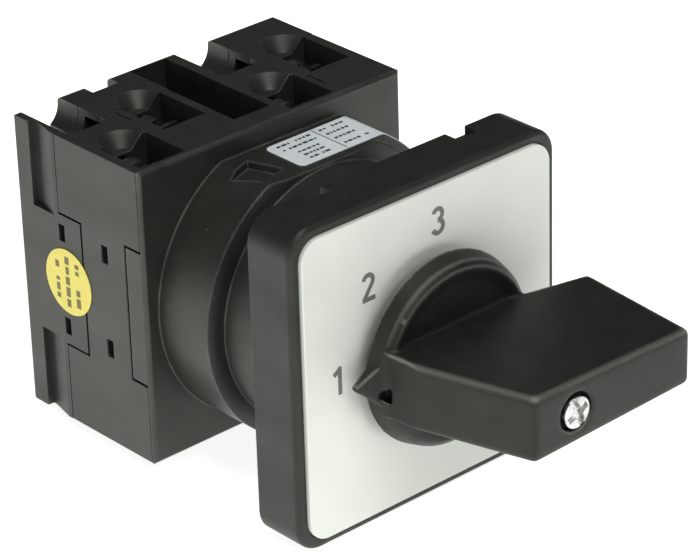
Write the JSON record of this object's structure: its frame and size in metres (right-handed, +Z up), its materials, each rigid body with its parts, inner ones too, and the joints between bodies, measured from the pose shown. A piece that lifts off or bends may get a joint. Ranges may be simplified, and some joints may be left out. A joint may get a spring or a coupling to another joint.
{
  "type": "rotary cam switch",
  "caption": "Panel-mounted rotary cam switch: square front frame with numbered dial plate, side-swept thumb handle, round detent housing and box-shaped contact blocks with screw terminals.",
  "frame": {"origin": "on the shaft's axis, in the plane of the front frame's rear face, which rests on the panel's front", "axes": "+Y along the shaft from the user's side through the panel to the terminals, +Z up, +X to the right as the user sees it; rest is the handle at position 1"},
  "size_m": [0.048, 0.0865, 0.048],
  "materials": {
    "black_housing": "matt black moulded thermoplastic with a fine grain",
    "black_frame": "matt black moulded frame, lightly grained",
    "black_handle": "matt black handle with a fine grain and slightly polished edges",
    "dial_face": "satin pale grey plate with grey printed numerals",
    "dark_rubber": "soft black rubber",
    "zinc_steel": "bright zinc-plated steel",
    "shaft_steel": "drawn steel",
    "spring_steel": "spring wire",
    "contact_copper": "stamped brass strip",
    "silver_tip": "silver contact tip",
    "grey_nylon": "grey nylon",
    "white_nylon": "natural nylon",
    "label_film": "printed pale label film",
    "yellow_sticker": "yellow paper sticker"
  },
  "bodies": {
    "housing": {"front_frame": "black_frame", "dial_plate": "dial_face", "panel_gasket": "dark_rubber", "shaft_seal": "dark_rubber", "fixing_screws": "zinc_steel", "detent_housing": "black_housing", "rating_label": "label_film", "stop_ring": "grey_nylon", "partition_plate": "grey_nylon", "contact_housing": "black_housing", "rear_cover": "black_housing", "date_sticker": "yellow_sticker", "tie_screws": "zinc_steel", "fixed_contacts": "contact_copper", "fixed_contact_tips": "silver_tip", "terminal_screws": "zinc_steel", "terminal_clamps": "zinc_steel", "detent_spring_left": "spring_steel", "detent_spring_right": "spring_steel", "contact_spring_front_left": "spring_steel", "plunger_front_right": "white_nylon", "bridge_front_right": "contact_copper", "bridge_tips_front_right": "silver_tip", "contact_spring_front_right": "spring_steel", "contact_spring_rear_left": "spring_steel", "contact_spring_rear_right": "spring_steel"},
    "rotor": {"handle_knob": "black_handle", "handle_screw": "zinc_steel", "square_shaft": "shaft_steel", "shaft_clip": "spring_steel", "detent_star": "grey_nylon", "stop_cam": "grey_nylon", "cam_front": "white_nylon", "cam_rear": "white_nylon"},
    "detent_left": {"detent_slider_left": "grey_nylon", "detent_roller_left": "shaft_steel"},
    "detent_right": {"detent_slider_right": "grey_nylon", "detent_roller_right": "shaft_steel"},
    "contact_front_left": {"plunger_front_left": "white_nylon", "bridge_front_left": "contact_copper", "bridge_tips_front_left": "silver_tip"},
    "contact_rear_left": {"plunger_rear_left": "white_nylon", "bridge_rear_left": "contact_copper", "bridge_tips_rear_left": "silver_tip"},
    "contact_rear_right": {"plunger_rear_right": "white_nylon", "bridge_rear_right": "contact_copper", "bridge_tips_rear_right": "silver_tip"}
  },
  "joints": [
    {"name": "handle_turn", "type": "hinge", "parent": "housing", "child": "rotor", "pos_m": [0, 0, 0], "axis": [0, 1, 0], "range_deg": [0, 90]},
    {"name": "detent_left_slide", "type": "slide", "parent": "housing", "child": "detent_left", "axis": [-1, 0, 0], "range_m": [-0.0012, 0], "deforming": ["detent_spring_left"]},
    {"name": "detent_right_slide", "type": "slide", "parent": "housing", "child": "detent_right", "axis": [1, 0, 0], "range_m": [-0.0012, 0], "deforming": ["detent_spring_right"]},
    {"name": "contact_front_left_slide", "type": "slide", "parent": "housing", "child": "contact_front_left", "axis": [-1, 0, 0], "range_m": [0, 0.0018], "deforming": ["contact_spring_front_left"]},
    {"name": "contact_rear_left_slide", "type": "slide", "parent": "housing", "child": "contact_rear_left", "axis": [1, 0, 0], "range_m": [0, 0.0018], "deforming": ["contact_spring_rear_left"]},
    {"name": "contact_rear_right_slide", "type": "slide", "parent": "housing", "child": "contact_rear_right", "axis": [1, 0, 0], "range_m": [0, 0.0018], "deforming": ["contact_spring_rear_right"]}
  ],
  "couplings": [
    {"joint": "contact_front_left_slide", "follows": "handle_turn", "m_per_rad": 0.0011459},
    {"joint": "contact_rear_left_slide", "follows": "handle_turn", "m_per_rad": 0.0011459},
    {"joint": "contact_rear_right_slide", "follows": "handle_turn", "m_per_rad": 0.0011459},
    {"joint": "detent_right_slide", "follows": "detent_left_slide", "ratio": 1}
  ]
}
